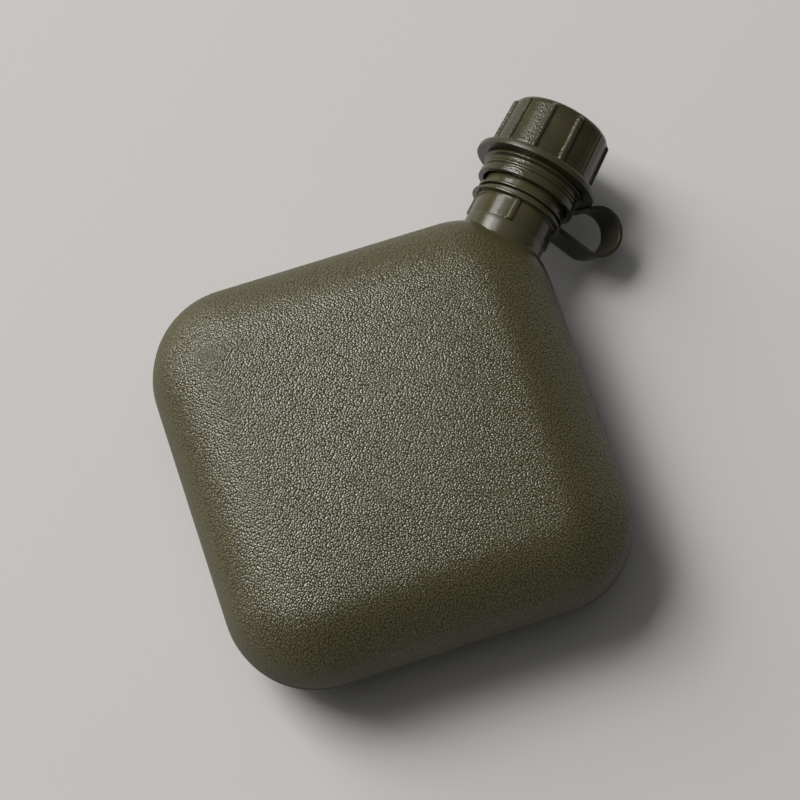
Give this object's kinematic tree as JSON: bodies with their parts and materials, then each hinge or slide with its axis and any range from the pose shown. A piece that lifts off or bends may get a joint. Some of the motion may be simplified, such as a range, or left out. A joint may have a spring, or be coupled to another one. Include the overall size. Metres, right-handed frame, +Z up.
{
  "type": "soft canteen with screw cap and cap strap",
  "caption": "Soft square canteen with rounded edges, a rigid corner neck, a ribbed screw cap and a moulded strap that keeps the cap.",
  "frame": {"origin": "under the middle of the overall outline, on the surface that the canteen lies on", "axes": "+X runs along the neck towards the cap, +Z is up through the thickness, and +Y completes a right-handed frame; the strap's loop is on the -Y side"},
  "size_m": [0.2964, 0.2342, 0.072],
  "materials": {
    "bladder_plastic": "soft olive drab plastic with a pebbled grain on both broad faces and a smooth band round the edge",
    "neck_plastic": "smooth olive drab plastic, semi-gloss",
    "cap_plastic": "smooth olive drab plastic, semi-gloss",
    "strap_plastic": "flexible olive drab plastic, satin",
    "liner_rubber": "black rubber, dull"
  },
  "bodies": {
    "canteen": {"body_bladder": "bladder_plastic", "spout": "neck_plastic"},
    "neck_ring": {"strap_neck_ring": "strap_plastic", "strap_loop": "strap_plastic"},
    "cap_ring": {"strap_cap_ring": "strap_plastic"},
    "liner": {"cap_liner": "liner_rubber"},
    "cap": {"cap": "cap_plastic"}
  },
  "joints": [
    {"name": "strap_swivel", "type": "hinge", "parent": "canteen", "child": "neck_ring", "pos_m": [0.1, 0, 0.036], "axis": [1, 0, 0], "continuous": true},
    {"name": "cap_ring_lift", "type": "slide", "parent": "neck_ring", "child": "cap_ring", "axis": [1, 0, 0], "range_m": [0, 0.0381], "deforming": ["strap_loop"]},
    {"name": "liner_lift", "type": "slide", "parent": "canteen", "child": "liner", "axis": [1, 0, 0], "range_m": [0, 0.0381]},
    {"name": "cap_turn", "type": "hinge", "parent": "liner", "child": "cap", "pos_m": [0.13, 0, 0.036], "axis": [1, 0, 0], "range_deg": [0, 2160]}
  ],
  "couplings": [
    {"joint": "liner_lift", "follows": "cap_turn", "m_per_rad": 0.0010106},
    {"joint": "cap_ring_lift", "follows": "cap_turn", "m_per_rad": 0.0010106}
  ]
}
